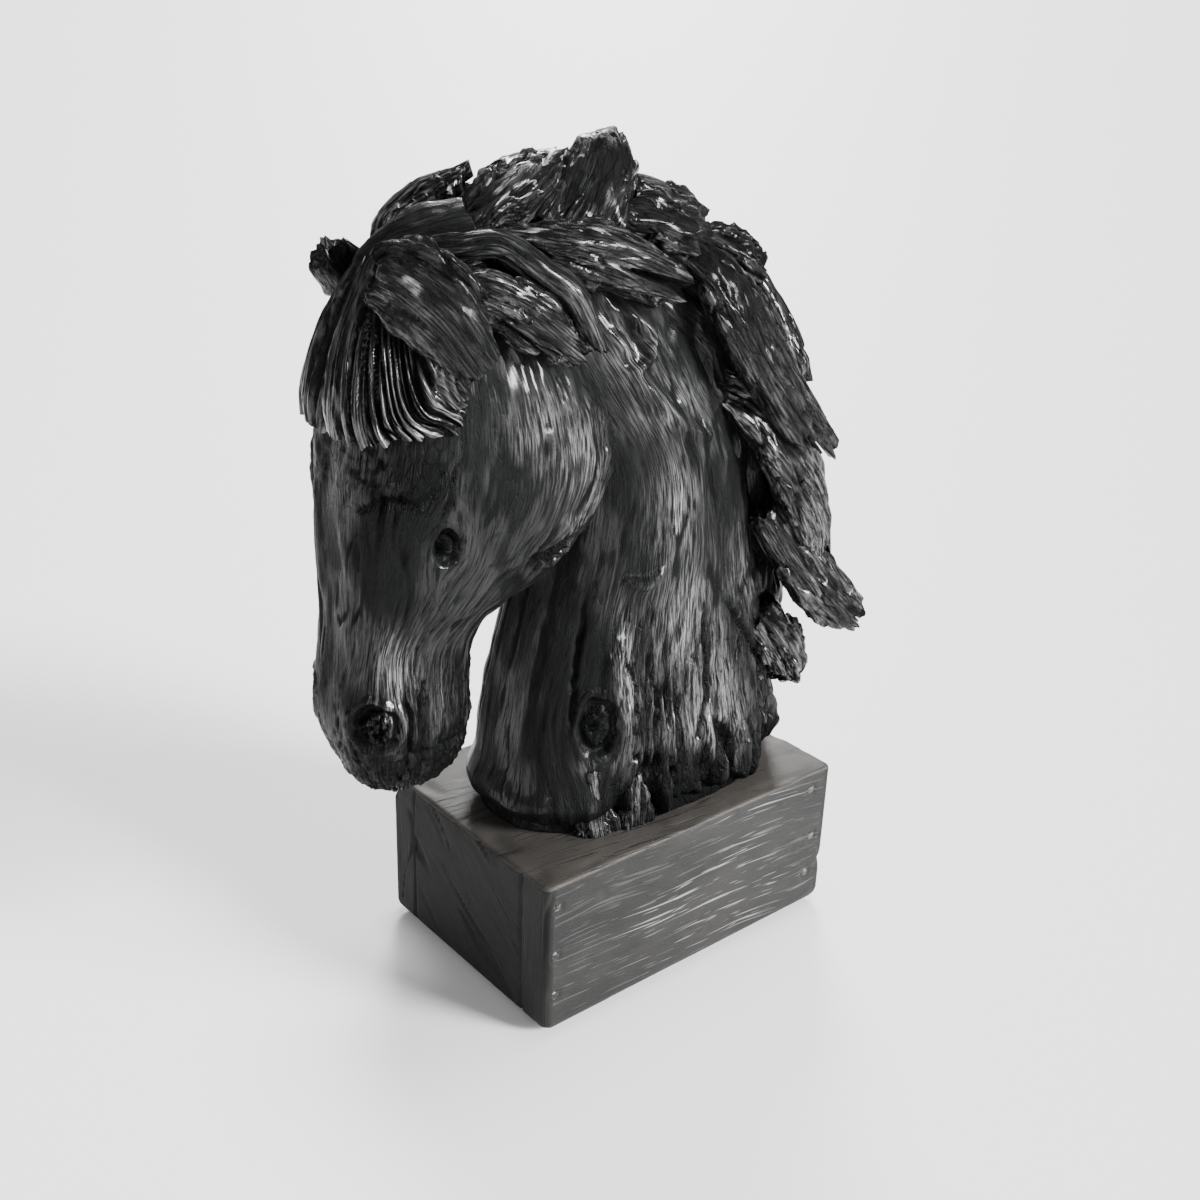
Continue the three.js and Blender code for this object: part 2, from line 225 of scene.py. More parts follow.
# Soft forms: spot, reach in x, y and z, height in millimetres, on both sides or not
HEAD_FORMS = [
    ([-44, -12, 60], [4, 5, 2.2], 2.2, True),
    ([-40, -12.5, 54], [5, 5, 3.6], -1.8, True),
    ([-25, -13.5, 57], [8, 5, 9], 2.4, True),
    ([-31, -11, 44], [3.5, 5, 7], -2.2, True),
    ([-45, -8, 37], [3, 5, 6], -1.6, True),
    ([-47, -8, 25], [4, 5, 5], 1.8, True),
    ([-38, -9, 20.5], [7, 6, 0.8], -2.6, True),
    ([-51, 0, 50], [4, 3.2, 12], -1.2, False),
]
NECK_FORMS = [
    ([2.5, -11.5, 58], [1.5, 5, 5], -3.0, True),
    ([6.5, -12, 49], [1.5, 5, 6], -3.6, True),
    ([10, -12.8, 38], [1.6, 5, 6], -3.0, True),
    ([-3, -12.5, 42], [4, 5, 10], 2.4, True),
    ([-12.5, -11.5, 50], [2.4, 5, 2.2], 2.4, False),
    ([-16.5, -11, 34], [2, 5, 12], -1.8, True),
]

# Painted highlights, where silver grey and coat are painted on the bulges as sheen: spot, reach,
# strength, on both sides or not
PAINTED_HIGHLIGHTS = [
    ([-19, -13, 60], [5, 5, 7], 0.9, True),
    ([-16, -11, 52], [3, 4, 4], 0.5, True),
    ([-46, -8, 33], [2.6, 4, 5.5], 1.0, True),
    ([-39.5, -9, 28], [2.2, 4, 6], 0.6, True),
    ([-9, -11, 72.5], [4, 4, 4], 1.0, False),
    ([-3, -12, 64], [6, 4, 4], 0.9, False),
    ([-9.6, -13, 26], [1.6, 4, 7], 1.0, False),
    ([-1, -12.5, 48], [4.5, 4, 7], 0.8, True),
    ([1, -14, 30], [6, 4, 10], 1.1, True),
    ([3, -15, 15], [9, 4, 8], 0.9, True),
    ([-27, -13, 65], [5, 4, 4], 0.5, True),
    ([14, -13, 36], [3.5, 4, 8], 0.5, True),
    ([-14.5, -13, 11.5], [2.4, 3, 1.6], 0.9, False),
]

# Nail heads on the left long face, in metres along it and up it. The right face repeats them.
NAILS = [
    (-0.101, 0.083), (-0.102, 0.052), (-0.102, 0.026),
    (0.092, 0.085), (0.096, 0.051), (0.094, 0.025),
]

# Height of a nail head's dome over its radius
NAIL_DOME = 0.35

# Cracks and hollows on the left side of the head: x, y, z, reach and height in millimetres
HEAD_LINES = [
    [[-45.1, -9, 34.1, 0.25, -1], [-44.7, -9.3, 28.5, 0.4, -4],
     [-44, -8.9, 22.4, 0.4, -4], [-43.4, -6.9, 17.3, 0.3, -2]],
    [[-43.2, -9.4, 32.7, 0.2, -1], [-42.7, -9.4, 26, 0.35, -3.5], [-41.1, -7.5, 18.3, 0.35, -3]],
    [[-38.7, -12.5, 63.4, 0.25, -2], [-39.3, -12.4, 60.7, 0.4, -3.4],
     [-39.8, -12.2, 57.8, 0.4, -3.4], [-40.3, -11.9, 55.5, 0.25, -2]],
    [[-26.3, -11.9, 46.2, 0.8, -3], [-24.3, -12.1, 46.9, 0.9, -4.5],
     [-22.1, -12, 47.6, 1, -4.5], [-19.8, -11.7, 48, 0.8, -3]],
    [[-49.3, -6.2, 57.1, 0.5, -2], [-46.7, -9.3, 58.4, 0.7, -3],
     [-43.4, -11.3, 57.9, 0.7, -3], [-40.7, -12.1, 61.6, 0.5, -2]],
]

# Lines on the left side of the neck, folds first and long cracks after them
NECK_LINES = [
    [[-13.4, -8.6, 78.6, 0.8, 2], [-9.6, -10, 77, 1, 5], [-6.2, -10.8, 74, 1.1, 6.5],
     [-7.2, -11, 70.8, 1, 5.5], [-10.4, -10.2, 69.8, 0.7, 2]],
    [[-12.9, -9.6, 76, 0.6, 2], [-11.2, -10.6, 73.4, 0.9, 5], [-9.2, -10.8, 71.6, 0.6, 2]],
    [[-10.4, -10, 70.4, 1, 2], [-5.2, -11.3, 65.4, 1.4, 5], [1.6, -11.5, 60, 1.2, 4.5],
     [7.9, -10.6, 57.6, 0.8, 1]],
    [[-9.6, -9.9, 73, 0.4, -2], [-8.4, -10.2, 74.6, 0.5, -4], [-9.8, -9.6, 76, 0.4, -2]],
    [[-9, -11.3, 39.2, 0.6, 2.5], [-6.2, -12.3, 38.3, 0.9, 4.5], [-4, -12.5, 39.8, 0.6, 2.5]],
    [[-7.3, -12.4, 35.2, 0.8, 1], [-9.9, -12.3, 29.9, 1.1, 3.4],
     [-11.7, -12.6, 24.5, 1.2, 4], [-10.6, -13.7, 19.5, 1.1, 3.4],
     [-11.5, -13.4, 14, 0.8, 1.5]],
    [[-14.6, -8.4, 38.6, 0.25, -1], [-15.8, -9.4, 31.4, 0.4, -4.5],
     [-17.1, -10, 25, 0.4, -4.5], [-18, -10.7, 18.5, 0.3, -3]],
    [[7.9, -13.4, 34.6, 0.25, -1], [12.4, -13.5, 28.3, 0.4, -5],
     [17, -13, 21.5, 0.4, -5], [20, -12.6, 16, 0.3, -3]],
    [[4, -13.4, 35.6, 0.25, -1], [4.5, -14.2, 27.6, 0.4, -5],
     [4.7, -15.2, 19.6, 0.4, -5], [2.4, -16.5, 12.3, 0.4, -4]],
    [[-1.1, -14.4, 25.2, 0.3, -2], [-1.3, -15.5, 17.3, 0.4, -4.5], [-1.1, -16.8, 9.2, 0.4, -4]],
    [[-4.7, -14.5, 21.1, 0.3, -2], [-5.4, -15.5, 14.4, 0.4, -4.5], [-5.2, -16.4, 8.3, 0.4, -4.5]],
    [[8.6, -13, 26, 0.2, -1], [9.4, -14, 16, 0.4, -5], [8.8, -14.6, 6, 0.4, -5]],
]

# Studio lights, far off: name, way they come from, breadth in degrees, strength
STUDIO = [
    ("key", (0.6, -1.1, 0.62), 16, 7.4),
    ("low", (0.8, -1.0, 0.24), 14, 5.4),
    ("front", (-0.66, -0.9, 0.42), 10, 0.8),
    ("top", (0.2, 0.1, 1.6), 16, 2.2),
    ("back", (0.7, 0.85, 0.58), 18, 3.6),
]

# The camera stands where the picture was taken from
CAMERA_SPOT = (-0.5059, -0.5779, 0.5499)
CAMERA_TURN = -40.28
CAMERA_LIFT = 24.11
CAMERA_ROLL = 1.98
CAMERA_LENS = 44.6

# Colours of the dark grain lines and of the nail heads
DARK_LINE = (0.002, 0.002, 0.002)
NAIL_DARK = (0.012, 0.012, 0.012)
NAIL_WORN = (0.08, 0.08, 0.078)

# Share of the white backdrop's light, and half the floor's breadth in metres
BACKDROP = 0.36
FLOOR_REACH = 60

# The block's rounded corners, foot and top edge, and the spacing of its points, in metres
BLOCK_CORNER = 0.005
BLOCK_FOOT = 0.009
BLOCK_TOP = 0.0022
BLOCK_STEP = 0.0012

# Rows along a lock's path and along a line, and rings that close each end of a lock
LOCK_ROWS = 160
LINE_ROWS = 70
CAP_RINGS = 5


def glide(a, b, c, d, t):
    """One stretch of a smooth run through four stations."""
    return b + 0.5 * t * (c - a + t * (2 * a - 5 * b + 4 * c - d + t * (3 * (b - c) + d - a)))


def fill(stations, count):
    """The stations as `count` rows, evenly spaced along the run."""
    rows = np.array(stations, float)
    padded = np.concatenate([rows[:1], rows, rows[-1:]])
    at = np.linspace(0, len(rows) - 1, count)
    index = np.minimum(at.astype(int), len(rows) - 2)
    step = (at - index)[:, None]
    return glide(padded[index], padded[index + 1], padded[index + 2], padded[index + 3], step)


def stacked(*parts):
    """Arrays of any matching shapes as the last axis of one array."""
    return np.stack(np.broadcast_arrays(*parts), -1)


def smooth(low, high, value):
    """0 below low, 1 above high, and smooth between them."""
    t = np.clip((value - low) / (high - low), 0, 1)
    return t * t * (3 - 2 * t)


def bell(value, middle, reach):
    """1 at the middle, falling off smoothly on both sides."""
    return np.exp(-(((value - middle) / reach) ** 2))


def noise(points, seed=0):
    """Gradient noise between about -1 and 1 for an array of points."""
    shape = points.shape[:-1]
    points = points.reshape(-1, 3)
    slopes = np.random.default_rng(seed).normal(size=(256, 3))
    slopes /= np.linalg.norm(slopes, axis=1, keepdims=True)
    cell = np.floor(points).astype(np.int64)
    part = points - cell
    ease = part**3 * (part * (part * 6 - 15) + 10)
    total = np.zeros(len(points))
    for corner in itertools.product((0, 1), repeat=3):
        spot = cell + corner
        key = spot[:, 0] * 374761393 + spot[:, 1] * 668265263 + spot[:, 2] * 2147483647
        key = (key ^ (key >> 13)) * 1274126177
        slope = slopes[(key ^ (key >> 16)) & 255]
        weight = np.prod(np.where(corner, ease, 1 - ease), axis=1)
        total += weight * np.einsum("ij,ij->i", slope, part - corner)
    return (1.6 * total).reshape(shape)


def wood(grain, seed, pitch=0.0045, run=0.06):
    """Height of weathered fibres, from about -1 to 1.

    Grain holds the places across, into and along the wood.
    """
    sway = 0.9 * noise(grain / (0.03, 0.03, 0.07), seed + 1)
    place = grain / (pitch, pitch, run)
    place[..., 0] += sway * 2
    place[..., 1] += sway
    broad = 1 - 2.2 * np.abs(noise(place, seed + 2))
    thin = noise(place * (2.7, 2.7, 2.1), seed + 3)
    crack = np.abs(noise(place * (0.42, 0.42, 0.6), seed + 4))
    cracked = smooth(-0.1, 0.3, noise(grain / (0.02, 0.02, 0.05), seed + 5))
    depth = -2.2 * (1 - smooth(0.0, 0.09, crack)) * cracked
    return 0.5 * broad + 0.45 * thin + depth


def valleys(grain, seed, pitch, run=0.13):
    """Long open cracks along the grain, 0 between them and -1 at their bottom."""
    ridge = np.abs(noise(grain / (pitch, pitch * 1.5, run), seed))
    return -smooth(0.16, 0.0, ridge) * smooth(-0.3, 0.3, noise(grain / (0.03, 0.03, 0.08), seed + 1))


def unit(vectors):
    """The vectors drawn to a length of one."""
    return vectors / np.maximum(np.linalg.norm(vectors, axis=-1, keepdims=True), 1e-12)


def outward(rings):
    """Normals of a tube of rings."""
    around = np.roll(rings, -1, 1) - np.roll(rings, 1, 1)
    return unit(np.cross(around, np.gradient(rings, axis=0)))


def forms(places, table):
    """Sum of soft forms, in millimetres, at places in hundredths of the height."""
    total = np.zeros(places.shape[:-1])
    for spot, reach, height, paired in table:
        for side in (1, -1) if paired else (1,):
            away = (places - np.multiply(spot, (1, side, 1))) / reach
            total += height * np.exp(-np.sum(away**2, axis=-1))
    return total


def lines(places, table):
    """Sum of folds and cracks along lines, in millimetres."""
    total = np.zeros(places.shape[:-1])
    for path in table:
        spots = fill(path, LINE_ROWS)
        spots[:, 0] += 0.4 * noise(spots[:, :3] / 1.7, 88)
        away = np.sum((places[..., None, :] - spots[:, :3]) ** 2, axis=-1)
        nearest = np.argmin(away, axis=-1)
        near = np.take_along_axis(away, nearest[..., None], -1)[..., 0]
        total += spots[nearest, 4] * np.exp(-near / spots[nearest, 3] ** 2)
    return total


def knotted(places, grain):
    """Relief of the knots in millimetres, where their cores are, and the grain led round them."""
    total = np.zeros(places.shape[:-1])
    cores = np.zeros(places.shape[:-1])
    for spot, face, radius, rim, bead, paired, tall in KNOTS:
        for side in (1, -1) if paired else (1,):
            centre = np.multiply(spot, (1, side, 1))
            away = (places - centre) / (1, 1, tall)
            way = unit(np.multiply(face, (1, side, 1)))
            flat = away - (away @ way)[..., None] * way
            far = np.linalg.norm(away, axis=-1)
            ring = np.linalg.norm(flat, axis=-1) * (1 + 0.12 * noise(places * 0.8, 70))
            near = smooth(3 * radius, 2 * radius, far)
            hump = 1.8 * rim * bell(ring, 1.15 * radius, 0.5 * rim)
            groove = -3.4 * bell(ring, 0.86 * radius, 0.17 * radius)
            core = smooth(0.75 * radius, 0.5 * radius, ring)
            split = smooth(0.2, 0.0, np.abs(noise(places * 0.8, 72)))
            rugged = 2.4 * noise(places * 1.2, 71) - 3 * split + 0.6
            bowl = -5.6 * smooth(0.95 * radius, 0.55 * radius, ring)
            bowl += 7.6 * smooth(0.5 * radius, 0.2 * radius, ring)
            total += near * (hump + (bowl if bead else groove + core * rugged))
            cores += near * core
            pull = bell(far, 0, 2.1 * radius)[..., None]
            grain = grain + pull * away * UNIT * (-0.75, -0.75, 0)
    return total, cores, grain


class Shell:
    """One closed tube of rings, with its grain and its relief.

    On the figure wear is how weathered it is, and painted_light_and_tone is where silver grey and coat
    are painted on: painted highlights on the bulges, painted sheen on the lock edges, painted shade on
    the mane's body, and each lock's random tone.
    On the block wear is the share of light grain lines, and painted_light_and_tone the boards' tone on
    each face: the top lighter as painted light and the ends darker as painted shade, with worn patches.
    """

    def __init__(self, rings, grain, relief, wear=1.0, painted_light_and_tone=0.4):
        self.rings, self.grain, self.relief = rings, grain, relief
        self.wear = np.broadcast_to(wear, relief.shape)
        self.painted_light_and_tone = np.broadcast_to(painted_light_and_tone, relief.shape)

    def faces(self, start):
        """Quads round the tube and a fan over each end, for points numbered from start."""
        count, sides = self.rings.shape[:2]
        row, side = np.meshgrid(np.arange(count - 1), np.arange(sides), indexing="ij")
        after = (side + 1) % sides
        low, high = row * sides, (row + 1) * sides
        quads = stacked(low + side, low + after, high + after, high + side).reshape(-1, 4)
        around = np.arange(sides)
        first = stacked(np.roll(around, -1), around, np.full(sides, count * sides))
        last = stacked(around, np.roll(around, -1), np.full(sides, sides + 1)) + (count - 1) * sides
        return [face for group in (quads, first, last) for face in (group + start).tolist()]

    def flat(self, values):
        """One value for each point, and after them the mean of each end."""
        ends = np.stack([values[0].mean(axis=0), values[-1].mean(axis=0)])
        return np.concatenate([values.reshape(-1, *values.shape[2:]), ends])


def placed(name, data):
    """A new object of the scene with this data."""
    made = bpy.data.objects.new(name, data)
    bpy.context.scene.collection.objects.link(made)
    return made


def mesh_object(name, shells, material):
    """One object from closed shells, which keeps what they carry as attributes."""
    points = np.clip(np.concatenate([shell.flat(shell.rings) for shell in shells]), *CAD_BOX)
    starts = np.cumsum([0] + [shell.rings.shape[0] * shell.rings.shape[1] + 2 for shell in shells])
    faces = [face for shell, start in zip(shells, starts) for face in shell.faces(start)]
    mesh = bpy.data.meshes.new(name)
    mesh.from_pydata(points.tolist(), [], faces)
    for key in ("grain", "relief", "wear", "painted_light_and_tone"):
        kind, field = ("FLOAT_VECTOR", "vector") if key == "grain" else ("FLOAT", "value")
        values = np.concatenate([shell.flat(getattr(shell, key)) for shell in shells])
        layer = mesh.attributes.new(key, kind, "POINT")
        layer.data.foreach_set(field, values.astype(np.float32).ravel())
    mesh.shade_smooth()
    mesh.materials.append(material)
    return placed(name, mesh)


def figure_piece(name, shells):
    """One piece of the figure, in its resin."""
    piece = mesh_object(name, shells, figure_material())
    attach(piece, "root")
    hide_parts("horse_head")


def block_piece(piece):
    """Marks a piece as part of the block."""
    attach(piece, "root")
    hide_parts("plinth")


def world(shares):
    """Hundredths of the figure's height as metres in the part's frame."""
    return shares * UNIT + np.array([0, 0, SEAT])


def squared(values, squareness):
    """Sines or cosines of a circle, drawn out towards a square."""
    return np.sign(values) * np.abs(values) ** (2 / squareness)


def column(stations, count, sides, shift=0.0):
    """Rings of a stack of sections, with angles, heights and places along and across them."""
    rows = fill(stations, count)
    height, front, back, half, squareness, taper = (rows[:, k, None] for k in range(6))
    angle = np.arange(sides) / sides * 2 * np.pi
    along = squared(np.cos(angle), squareness)
    across = squared(np.sin(angle), squareness)
    x = (front + back) / 2 + along * (back - front) / 2
    y = across * half * (1 - taper * along) + shift
    return stacked(x, y, height + 0 * x), angle[None, :], height, along, across


def head_shell(depth):
    """The head with its eyes, nostrils, cracks and rough muzzle."""
    places, _, height, along, across = column(HEAD, 230, 250)
    x = places[..., 0]
    normal = outward(places)
    grain = stacked(along * 0.06, across * 0.045, places[..., 2] * UNIT)
    knots, cores, grain = knotted(places, grain)
    brow = bell(height, 61, 5) * smooth(-36, -42, x)
    wear = 0.12 + 0.9 * brow + 0.75 * smooth(27, 19, height)
    wear += 0.35 * smooth(0.2, 0.7, noise(places / 9, 12))
    wear += 0.5 * smooth(-19, -15, x) + 0.6 * smooth(-45, -39, x) * smooth(40, 30, height)
    jaw = np.exp(-np.sum(((places - (-23, -12, 47)) / (5, 6, 3)) ** 2, axis=-1))
    wear = np.clip(wear + cores + jaw, 0, 1)
    relief = wood(grain, 10)
    broken = noise(places / (1.6, 1.6, 1.1), 14) * 0.0009 * wear
    broken += noise(places / (0.8, 0.8, 0.7), 17) * 0.0007 * (jaw + smooth(21, 17, height))
    cuts = knots * 0.8 + valleys(grain, 16, 0.01) * 1.1
    near_side = places[..., 1] < -4
    cuts[near_side] += lines(places[near_side], HEAD_LINES)
    lift = cuts + knots * 0.2 + forms(places, HEAD_FORMS) + noise(places / (2.4, 2.4, 4.5), 15)
    offset = (lift / 1000 + relief * (0.2 + 1.0 * wear) * depth + broken) / UNIT
    points = world(places + normal * (offset - 0.25)[..., None])
    # Painted highlights: silver grey and coat painted on the head's bulges as sheen. The cuts lower the
    # relief value, which paints shade into the cracks and hollows.
    return Shell(points, grain, relief + 0.5 * np.minimum(cuts, 0), wear, forms(places, PAINTED_HIGHLIGHTS))


def neck_shell(depth):
    """The neck with its bark, long cracks, folds and ragged foot."""
    places, angle, height, along, across = column(NECK, 230, 330)
    x = places[..., 0]
    open_part = np.exp(-(((height - 26) / 20) ** 4))
    hollow = 1 - 0.1 * open_part * bell(angle, np.pi, 0.3)
    middle = places[..., :2].mean(axis=1, keepdims=True)
    places[..., :2] = middle + (places[..., :2] - middle) * hollow[..., None]
    normal = outward(places)
    grain = stacked(along * 0.085, across * 0.05, places[..., 2] * UNIT)
    knots, cores, grain = knotted(places, grain)
    bark = smooth(44, 10, height + 5 * noise(places / 7, 26)) * smooth(-15, -6, x)
    frayed = smooth(14, 3, height) * smooth(-20, -7, x)
    relief = wood(grain, 20)
    deep = wood(grain, 24, pitch=0.0075, run=0.06)
    teeth = noise(stacked(grain[..., 0] / 0.0042, grain[..., 1] / 0.0042, height * 0.05), 27)
    gashes = smooth(0.34, 0.0, np.abs(noise(stacked(grain[..., 0] / 0.0125, 0 * x, height * 0.03), 30)))
    cuts = knots * 0.8 - 9.5 * gashes * frayed - 5 * smooth(3.4, 0.6, height + 1.6 * teeth) * frayed
    narrow = valleys(grain, 22, 0.006, 0.06) * 3.2 * bark
    cuts += valleys(grain, 23, 0.009) * (0.8 + 3.6 * bark) + narrow
    near_side = places[..., 1] < -4
    cuts[near_side] += lines(places[near_side], NECK_LINES)
    front = smooth(-6, -14, x) * (1 + 0.5 * noise(places / (5, 5, 9), 19))
    lip = 3.4 * bell(height, 4.4, 2.6) * front - 3 * smooth(2.4, 0.8, height) * front
    lift = lip + cuts + knots * 0.2 + forms(places, NECK_FORMS) + frayed * (6.5 * teeth + 2.4)
    lift += noise(places / (2.4, 2.4, 5), 29)
    broken = noise(places / (1.5, 1.5, 1.8), 28) * 0.0006 * (bark + frayed)
    ridges = relief * depth * (0.24 + 1.1 * bark)
    offset = (lift / 1000 + ridges + deep * bark * 1.4 * depth + broken) / UNIT
    rise = np.clip(offset - 0.35, -2.5, 1.2 + smooth(50, 60, height)) * smooth(-0.2, 1.0, height)
    wear = np.clip(0.12 + bark + frayed + cores, 0, 1)
    shade = relief + bark * deep + 0.5 * np.minimum(cuts, 0)
    # Painted highlights: silver grey and coat painted on the neck's bulges as sheen, faded out towards
    # the foot.
    painted_light_and_tone = forms(places, PAINTED_HIGHLIGHTS) * smooth(1, 5, height)
    return Shell(world(places + normal * rise[..., None]), grain, shade, wear, painted_light_and_tone)


def forelock_shell(depth):
    """The forelock with its flutes and its swirl."""
    places, angle, height, *_ = column(FORELOCK, 170, 420, FORELOCK_SHIFT)
    normal = outward(places)
    sweep = smooth(3.0, 5.0, angle) * smooth(6.6, 5.4, angle)
    fan = angle * 0.035 + (height - 66) * 0.0046 * sweep
    fan = fan + 0.007 * noise(stacked(fan / 0.03, height / 16, 0 * fan), 31)
    middle = places[..., :2].mean(axis=1, keepdims=True)
    radial = np.linalg.norm(places[..., :2] - middle, axis=-1) * UNIT
    grain = stacked(fan, radial * 0.3, places[..., 2] * UNIT)
    relief = wood(grain, 32, pitch=0.005, run=0.09)
    flutes = np.abs(noise(grain / (0.0068, 0.05, 0.12), 34))
    eddy = np.linalg.norm(places - EDDY, axis=-1) + 0.5 * noise(places / 3, 35)
    swirl = smooth(6.5, 5, eddy)
    groove = 0.0054 * smooth(0.3, 0.0, flutes) * (1 - swirl)
    groove += 0.0022 * swirl * smooth(-0.2, 0.9, np.sin(eddy * 5.2))
    offset = (relief * (1.2 - swirl) * depth - groove + 0.001) / UNIT
    rag = noise(stacked(fan / 0.0042, 0 * fan, 0 * fan), 33) * 1.1 + 1.1 * smooth(3.6, 4.4, angle)
    places[..., 2] += rag * smooth(71, 66, height)
    # Painted highlight: the lower flutes get more silver grey and coat, painted as sheen.
    painted_light_and_tone = 0.35 + 0.65 * smooth(73, 68, height)
    # The grooves lower the relief value, which paints shade into the flutes.
    return Shell(world(places + normal * offset[..., None]), grain, relief - 260 * groove, 0.45, painted_light_and_tone)


def mane_shell(depth):
    """The body of the mane, which its locks grow from, painted dark as shade between them."""
    places, _, _, along, across = column(MANE, 120, 150)
    grain = stacked(along * 0.06, across * 0.04, places[..., 2] * UNIT)
    relief = wood(grain, 60, pitch=0.006)
    offset = relief * 1.3 * depth + valleys(grain, 61, 0.012) * 0.004
    offset = (offset + 0.0035 * noise(places / 4, 63) - 0.0022) / UNIT
    points = world(places + outward(places) * offset[..., None])
    # Painted shade: no silver grey and a lower relief value, so less coat, darken the body between the
    # locks.
    return Shell(points, grain, relief - 0.5, painted_light_and_tone=0.0)


def rooted(path):
    """The path with one more station before it, sunk into the mane."""
    rows = np.array(path, float)
    start = rows[0] + 0.7 * (rows[0] - rows[1])
    start[:3] = rows[0, :3] + 0.7 * (rows[0, :3] - rows[1, :3])
    start[:3] -= 2.6 * unit((rows[0, :3] - MANE_CENTRE) / MANE_REACH**2)
    start[3:] = rows[0, 3:] * 0.75
    return np.vstack([start, rows])


def lock_shell(path, seed, depth, rough=1.0, count=84, sides=44, root=True):
    """A lock of weathered wood along its path, frayed at the end."""
    rows = fill(rooted(path) if root else path, LOCK_ROWS)
    spots, width = rows[:, :3], rows[:, 3]
    angle = np.arange(sides) / sides * 2 * np.pi
    cosine, sine = squared(np.cos(angle), 3), squared(np.sin(angle), 2.6)
    ring = stacked(cosine * width.max() * 0.4, sine * 0.5, np.full(sides, seed * 3.7))
    ragged = 0.12 + 0.2 * noise(ring, seed) + 0.08 * noise(ring * 2.9, seed + 6)
    end = 1 - rough * np.clip(ragged, 0, 0.5)
    begin = 0.07 * rough * (0.5 + 0.9 * noise(ring * 2, seed + 1))
    opening, closing = np.linspace(0.1, 0.93, CAP_RINGS), np.linspace(0.93, 0.1, CAP_RINGS)
    open_rings = count - 2 * CAP_RINGS
    inner = np.concatenate([opening, np.ones(open_rings), closing])
    run = np.concatenate([np.zeros(CAP_RINGS), np.linspace(0, 1, open_rings), np.ones(CAP_RINGS)])
    at = np.clip(begin + run[:, None] * (end - begin), 0, 1)
    rows_at = [np.interp(at, np.linspace(0, 1, LOCK_ROWS), values) for values in rows.T]
    centre = np.stack(rows_at[:3], -1)
    ahead = unit(np.gradient(spots, axis=0))
    out = (spots - MANE_CENTRE) / MANE_REACH**2
    out = unit(out - np.sum(out * ahead, axis=1, keepdims=True) * ahead)
    side = np.cross(out, ahead)
    index = (at * (LOCK_ROWS - 1)).astype(int)
    swing = stacked(at * 6, np.sign(np.cos(angle)), seed * 1.3)
    wobble = 1 + 0.22 * rough * noise(swing, seed + 2)
    across = cosine * rows_at[3] / 2 * wobble * inner[:, None]
    lift = sine * rows_at[4] / 2 * inner[:, None]
    length = np.linalg.norm(np.diff(spots, axis=0), axis=1).sum() * UNIT
    grain = stacked(across * UNIT + seed * 0.31, lift * UNIT * 0.8, at * length + seed * 0.17)
    relief = wood(grain, seed + 3, pitch=0.0042, run=0.05)
    layers = noise(stacked(across * 0.55 + seed, at * 1.2, sine), seed + 8)
    terrace = np.round(layers * 2.6) / 2.6
    open_grain = valleys(grain, seed + 9, 0.0062, 0.09) * 0.0026
    lumps = noise(stacked(across * 0.4, at * 5, lift * 0.4 + seed), seed + 11) * 0.0016
    offset = relief * 0.9 * depth * rough + terrace * 0.0022 * rough + lumps * rough
    offset = (offset + open_grain * (0.4 + 0.6 * rough)) / UNIT
    reach = unit(stacked(cosine, sine))
    across = across + reach[:, 0] * offset * inner[:, None]
    lift = lift + reach[:, 1] * offset * inner[:, None]
    places = centre + side[index] * across[..., None] + out[index] * lift[..., None]
    tone = np.random.default_rng(seed + 12).uniform(0.0, 0.6)
    # Painted highlight: the edges of each lock get more silver grey and coat as painted sheen. Each
    # lock's random tone and the noise patches are its own.
    painted_light_and_tone = tone + 0.35 * smooth(0.75, 1.0, np.abs(cosine))
    painted_light_and_tone = painted_light_and_tone + 0.3 * smooth(0.1, 0.7, noise(places / 5, seed + 13))
    shade = relief + terrace * 0.25 + open_grain * 500
    return Shell(world(places), grain, shade, min(1, rough), painted_light_and_tone)


def splinters(path, seed):
    """Thinner strands that lie on a lock, each over a stretch of its length."""
    rows = fill(path, 9)
    draw = np.random.default_rng(seed)
    ahead = unit(np.gradient(rows[:, :3], axis=0))
    out = unit((rows[:, :3] - MANE_CENTRE) / MANE_REACH**2)
    side = unit(np.cross(out, ahead))
    strands = []
    for lean in (-0.36, -0.08, 0.22, 0.42):
        first = draw.integers(0, 4)
        last = first + draw.integers(4, 6)
        part = rows[first:last].copy()
        shift = side[first:last] * (lean + draw.uniform(-0.08, 0.08)) * part[:, 3:4]
        rise = out[first:last] * part[:, 4:5] * (0.34 - 0.5 * abs(lean))
        part[:, :3] += shift + rise + draw.uniform(-0.2, 0.2, (1, 3))
        part[:, 3] *= draw.uniform(0.28, 0.42)
        part[:, 4] *= draw.uniform(0.35, 0.5)
        part[-1, 3:] *= 0.5
        part[0, 3:] *= 0.7
        strands.append(part)
    return strands


def mirrored(path):
    """The path on the other side of the figure."""
    return [[x, -y, *rest] for x, y, *rest in path]


class Socket:
    """A shader value that sums and products can be written with."""

    def __init__(self, shader, output):
        self.shader, self.output = shader, output

    def math(self, kind, other=0.0):
        return self.shader.node("ShaderNodeMath", [self, other], operation=kind)

    def __sub__(self, other):
        return self.math("SUBTRACT", other)

    def __mul__(self, other):
        return self.math("MULTIPLY", other)

    def __add__(self, other):
        if isinstance(other, Socket) and self.output.type == "VECTOR":
            return self.shader.node("ShaderNodeVectorMath", [self, other], operation="ADD")
        return self.math("ADD", other)

    def __rsub__(self, other):
        return (self * -1.0) + other

    def stretched(self, factors):
        return self.shader.node("ShaderNodeVectorMath", [self, factors], operation="MULTIPLY")

    __radd__, __rmul__ = __add__, __mul__

    def between(self, low, high):
        """0 below low, 1 above high, smooth between them."""
        inputs = {"Value": self, "From Min": low, "From Max": high}
        return self.shader.node("ShaderNodeMapRange", inputs, interpolation_type="SMOOTHSTEP")


